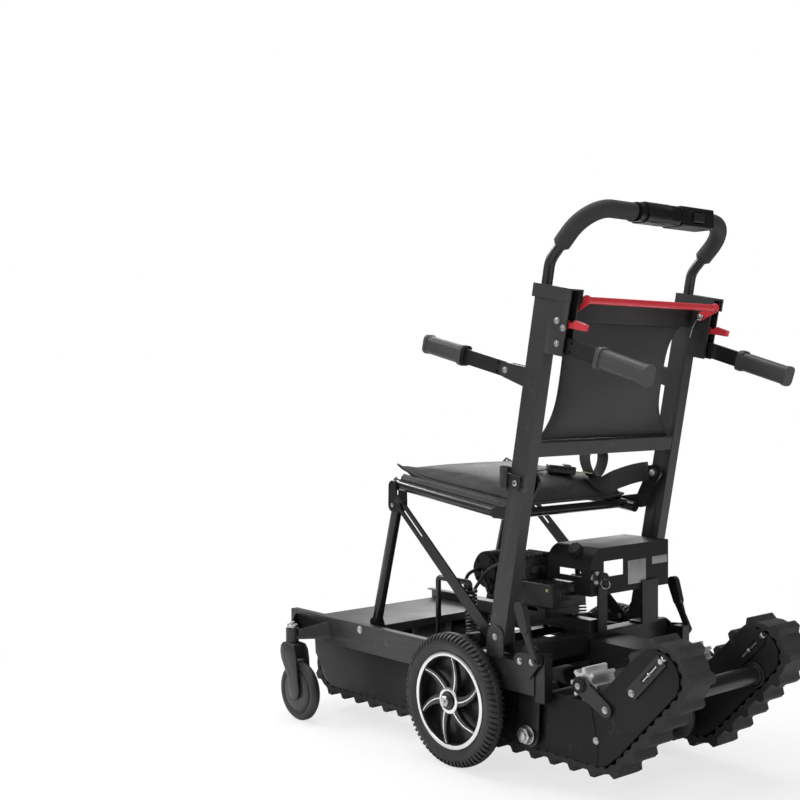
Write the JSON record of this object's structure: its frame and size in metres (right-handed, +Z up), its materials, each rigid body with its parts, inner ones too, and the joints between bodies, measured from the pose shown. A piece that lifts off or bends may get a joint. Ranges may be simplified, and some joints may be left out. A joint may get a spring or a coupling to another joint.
{
  "type": "stair climbing wheelchair",
  "caption": "Powered stair climbing wheelchair with lugged crawler tracks under a low chassis, a folding seat and tall backrest, carry handles, armrests and a telescopic push handle.",
  "frame": {"origin": "midway along and across the base, on the floor", "axes": "+X forward, the way the sitter faces; +Y to the sitter's left; +Z up"},
  "size_m": [1.055, 0.575, 1.0365],
  "materials": {
    "black_coat": "satin black powder coat",
    "cast_black": "black painted casting",
    "belt_rubber": "matte black rubber",
    "tyre_rubber": "matte black tyre rubber",
    "rim_metal": "dark spoked rim with machined edge",
    "bare_aluminium": "machined aluminium",
    "zinc": "zinc plated steel",
    "spring_steel": "black coated spring wire",
    "black_plastic": "black moulded plastic",
    "gloss_black": "glossy black plastic",
    "foam": "matte foam and soft rubber grips",
    "red": "glossy red coating",
    "sling_fabric": "black woven sling",
    "cushion_fabric": "dark grey padded seat cover",
    "webbing": "black webbing",
    "cable": "black cable sheath"
  },
  "bodies": {
    "chassis": {"side_rails": "black_coat", "footplate": "black_coat", "cross_members": "black_coat", "hanger_plates": "black_coat", "track_frames": "black_coat", "track_belts": "belt_rubber", "brackets": "black_coat", "drive_unit": "cast_black", "battery": "black_plastic", "controller_box": "black_plastic", "motor_unit": "cast_black", "housing": "black_coat", "key_switch": "zinc", "motor_cables": "cable", "chassis_bolts": "zinc", "spring_left": "spring_steel", "spring_right": "spring_steel"},
    "arm_left": {"wheel_arm_left": "black_coat"},
    "wheel_left": {"tyre_left": "tyre_rubber", "rim_left": "rim_metal"},
    "lever_left": {"lever_left": "black_plastic"},
    "fork_left": {"caster_fork_left": "black_coat"},
    "caster_left": {"caster_wheel_left": "tyre_rubber"},
    "arm_right": {"wheel_arm_right": "black_coat"},
    "wheel_right": {"tyre_right": "tyre_rubber", "rim_right": "rim_metal"},
    "lever_right": {"lever_right": "black_plastic"},
    "fork_right": {"caster_fork_right": "black_coat"},
    "caster_right": {"caster_wheel_right": "tyre_rubber"},
    "drive": {"drive_axle": "bare_aluminium"},
    "front_idlers": {"front_idlers": "bare_aluminium"},
    "tail_idlers": {"tail_idlers": "bare_aluminium"},
    "tail_wheels": {"tail_wheels": "tyre_rubber"},
    "backrest": {"backrest_posts": "black_coat", "backrest_crossbars": "black_coat", "handle_brackets": "black_coat", "backrest_sling": "sling_fabric", "back_bolts": "zinc"},
    "seat": {"seat_frame": "black_coat", "seat_cushion": "cushion_fabric", "seat_belt": "webbing"},
    "legs": {"front_legs": "black_coat"},
    "braces": {"braces": "black_coat"},
    "handle": {"handle_tube": "black_coat", "handle_foam": "foam", "control_unit": "gloss_black"},
    "rocker": {"drive_rocker": "gloss_black"},
    "release": {"release_bar": "red"},
    "latch_left": {"latch_left": "red"},
    "carry_left": {"carry_bar_left": "black_coat", "carry_grip_left": "foam"},
    "armrest_left": {"armrest_bar_left": "black_coat", "armrest_grip_left": "foam"},
    "latch_right": {"latch_right": "red"},
    "carry_right": {"carry_bar_right": "black_coat", "carry_grip_right": "foam"},
    "armrest_right": {"armrest_bar_right": "black_coat", "armrest_grip_right": "foam"},
    "key": {"key": "zinc"},
    "knob": {"knob": "black_plastic"}
  },
  "joints": [
    {"name": "arm_swing_left", "type": "hinge", "parent": "chassis", "child": "arm_left", "pos_m": [-0.18233, 0.1825, 0.082], "axis": [0, -1, 0], "range_deg": [0, 8], "stiffness_Nm_per_rad": 150, "springref_deg": -28.65, "deforming": ["spring_left"]},
    {"name": "wheel_spin_left", "type": "hinge", "parent": "arm_left", "child": "wheel_left", "pos_m": [-0.03533, 0.239, 0.125], "axis": [0, 1, 0], "continuous": true},
    {"name": "lever_swing_left", "type": "hinge", "parent": "chassis", "child": "lever_left", "pos_m": [-0.22733, 0.2205, 0.226], "axis": [0, -1, 0], "range_deg": [0, 24]},
    {"name": "caster_swivel_left", "type": "hinge", "parent": "chassis", "child": "fork_left", "pos_m": [0.44267, 0.269, 0.177], "axis": [0, 0, 1], "continuous": true},
    {"name": "caster_spin_left", "type": "hinge", "parent": "fork_left", "child": "caster_left", "pos_m": [0.41467, 0.269, 0.0625], "axis": [0, 1, 0], "continuous": true},
    {"name": "arm_swing_right", "type": "hinge", "parent": "chassis", "child": "arm_right", "pos_m": [-0.18233, -0.1825, 0.082], "axis": [0, -1, 0], "range_deg": [0, 8], "stiffness_Nm_per_rad": 150, "springref_deg": -28.65, "deforming": ["spring_right"]},
    {"name": "wheel_spin_right", "type": "hinge", "parent": "arm_right", "child": "wheel_right", "pos_m": [-0.03533, -0.239, 0.125], "axis": [0, 1, 0], "continuous": true},
    {"name": "lever_swing_right", "type": "hinge", "parent": "chassis", "child": "lever_right", "pos_m": [-0.22733, -0.2205, 0.226], "axis": [0, -1, 0], "range_deg": [0, 24]},
    {"name": "caster_swivel_right", "type": "hinge", "parent": "chassis", "child": "fork_right", "pos_m": [0.44267, -0.269, 0.177], "axis": [0, 0, 1], "continuous": true},
    {"name": "caster_spin_right", "type": "hinge", "parent": "fork_right", "child": "caster_right", "pos_m": [0.41467, -0.269, 0.0625], "axis": [0, 1, 0], "continuous": true},
    {"name": "drive_spin", "type": "hinge", "parent": "chassis", "child": "drive", "pos_m": [-0.29602, 0, 0.1895], "axis": [0, 1, 0], "continuous": true},
    {"name": "front_idler_spin", "type": "hinge", "parent": "chassis", "child": "front_idlers", "pos_m": [0.42789, 0, 0.098], "axis": [0, 1, 0], "continuous": true},
    {"name": "tail_idler_spin", "type": "hinge", "parent": "chassis", "child": "tail_idlers", "pos_m": [-0.46267, 0, 0.23219], "axis": [0, 1, 0], "continuous": true},
    {"name": "tail_wheel_spin", "type": "hinge", "parent": "chassis", "child": "tail_wheels", "pos_m": [-0.30333, 0, 0.097], "axis": [0, 1, 0], "continuous": true},
    {"name": "back_fold", "type": "hinge", "parent": "chassis", "child": "backrest", "pos_m": [-0.12473, 0, 0.2535], "axis": [0, 1, 0], "range_deg": [0, 60]},
    {"name": "seat_level", "type": "hinge", "parent": "backrest", "child": "seat", "pos_m": [-0.17927, 0, 0.53782], "axis": [0, 1, 0], "range_deg": [-60, 0]},
    {"name": "leg_fold", "type": "hinge", "parent": "chassis", "child": "legs", "pos_m": [0.26622, 0, 0.18268], "axis": [0, 1, 0], "range_deg": [0, 60]},
    {"name": "brace_fold", "type": "hinge", "parent": "seat", "child": "braces", "pos_m": [0.18067, 0, 0.469], "axis": [0, 1, 0], "range_deg": [0, 38]},
    {"name": "handle_slide", "type": "slide", "parent": "backrest", "child": "handle", "axis": [-0.1884, 0, 0.9821], "range_m": [0, 0.1]},
    {"name": "rocker_tilt", "type": "hinge", "parent": "handle", "child": "rocker", "pos_m": [-0.35233, -0.074, 1.018], "axis": [0, 1, 0], "range_deg": [-8, 8], "stiffness_Nm_per_rad": 0.4},
    {"name": "release_pull", "type": "hinge", "parent": "backrest", "child": "release", "pos_m": [-0.28385, 0, 0.8441], "axis": [0, -1, 0], "range_deg": [0, 25], "stiffness_Nm_per_rad": 3, "springref_deg": -11.46},
    {"name": "latch_press_left", "type": "hinge", "parent": "backrest", "child": "latch_left", "pos_m": [-0.28405, 0.203, 0.8186], "axis": [0, -1, 0], "range_deg": [0, 20], "stiffness_Nm_per_rad": 0.6, "springref_deg": -17.19},
    {"name": "carry_fold_left", "type": "hinge", "parent": "backrest", "child": "carry_left", "pos_m": [-0.27459, 0.203, 0.78519], "axis": [0, -1, 0], "range_deg": [0, 75]},
    {"name": "armrest_flip_left", "type": "hinge", "parent": "backrest", "child": "armrest_left", "pos_m": [-0.14698, 0.203, 0.74104], "axis": [0, -1, 0], "range_deg": [0, 90]},
    {"name": "latch_press_right", "type": "hinge", "parent": "backrest", "child": "latch_right", "pos_m": [-0.28405, -0.203, 0.8186], "axis": [0, -1, 0], "range_deg": [0, 20], "stiffness_Nm_per_rad": 0.6, "springref_deg": -17.19},
    {"name": "carry_fold_right", "type": "hinge", "parent": "backrest", "child": "carry_right", "pos_m": [-0.27459, -0.203, 0.78519], "axis": [0, -1, 0], "range_deg": [0, 75]},
    {"name": "armrest_flip_right", "type": "hinge", "parent": "backrest", "child": "armrest_right", "pos_m": [-0.14698, -0.203, 0.74104], "axis": [0, -1, 0], "range_deg": [0, 90]},
    {"name": "key_turn", "type": "hinge", "parent": "chassis", "child": "key", "pos_m": [-0.21533, 0.035, 0.352], "axis": [1, 0, 0], "range_deg": [0, 90]},
    {"name": "knob_turn", "type": "hinge", "parent": "chassis", "child": "knob", "pos_m": [-0.16333, 0.03675, 0.39575], "axis": [0, 0.7071, 0.7071], "range_deg": [0, 270]}
  ],
  "couplings": [
    {"joint": "seat_level", "follows": "back_fold", "ratio": -1},
    {"joint": "leg_fold", "follows": "back_fold", "ratio": 1},
    {"joint": "brace_fold", "follows": "back_fold", "ratio": 0.633},
    {"joint": "lever_swing_left", "follows": "arm_swing_left", "ratio": 3},
    {"joint": "lever_swing_right", "follows": "arm_swing_right", "ratio": 3},
    {"joint": "front_idler_spin", "follows": "drive_spin", "ratio": -0.83},
    {"joint": "tail_idler_spin", "follows": "drive_spin", "ratio": -0.83}
  ]
}
